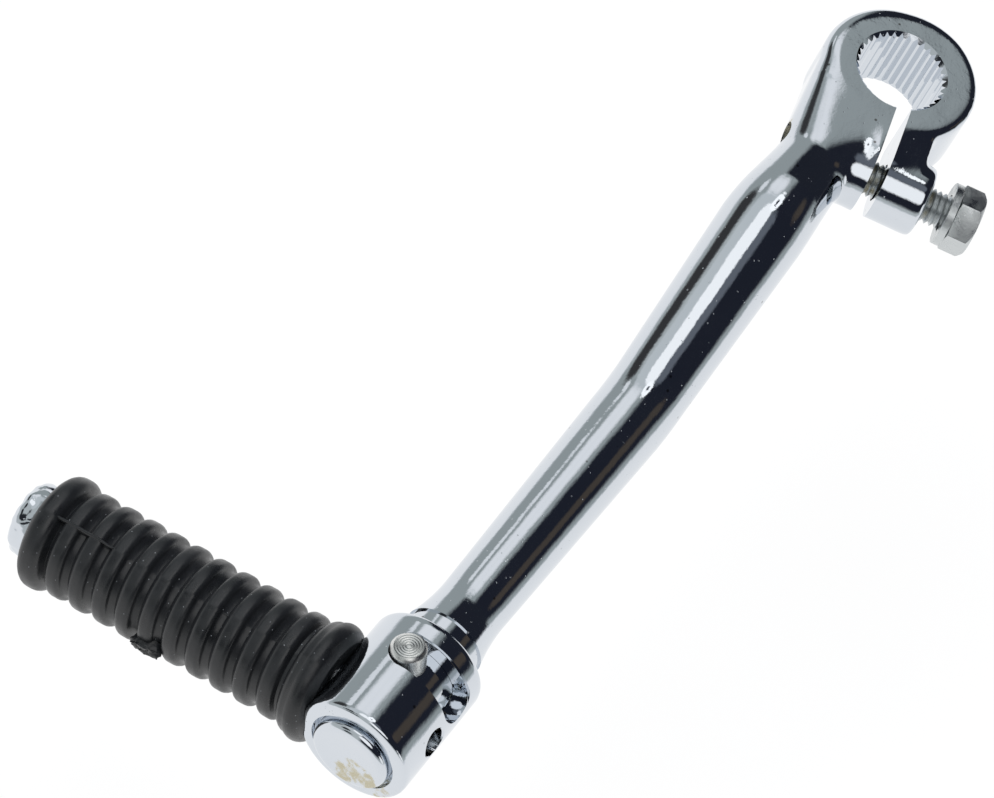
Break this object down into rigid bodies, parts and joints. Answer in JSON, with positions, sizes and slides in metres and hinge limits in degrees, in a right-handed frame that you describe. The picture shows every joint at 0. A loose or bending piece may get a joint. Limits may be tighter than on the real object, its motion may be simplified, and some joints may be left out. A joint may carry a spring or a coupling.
{
  "type": "kick start lever",
  "caption": "Kick start lever: a cranked forged arm with a splined clamp boss and pinch bolt, and a ribbed rubber pedal that folds about a post on the arm's end.",
  "frame": {"origin": "centre of the splined bore, at the middle of the boss's width", "axes": "+Z along the splined bore, towards the engine; +X along the arm, towards the pedal; the pedal opens towards -Z"},
  "size_m": [0.2247, 0.1184, 0.0553],
  "materials": {
    "chrome": "bright chrome plate, lightly pitted and stained",
    "zinc": "zinc plated steel, dull",
    "steel": "bare steel, satin",
    "rubber": "satin black moulded rubber"
  },
  "bodies": {
    "arm": {"arm": "chrome", "pinch_bolt": "zinc", "spring_washer": "zinc", "stop_pin": "steel", "detent_spring": "steel"},
    "pedal": {"knuckle": "chrome", "pedal_rubber": "rubber"},
    "ball": {"detent_ball": "steel"}
  },
  "joints": [
    {"name": "pedal_fold", "type": "hinge", "parent": "arm", "child": "pedal", "pos_m": [0.1909, 0.0005, -0.014], "axis": [1, 0, 0], "range_deg": [0, 72.4]},
    {"name": "detent_push", "type": "slide", "parent": "arm", "child": "ball", "axis": [0, 0.9397, 0.342], "range_m": [0, 0.0013]}
  ]
}
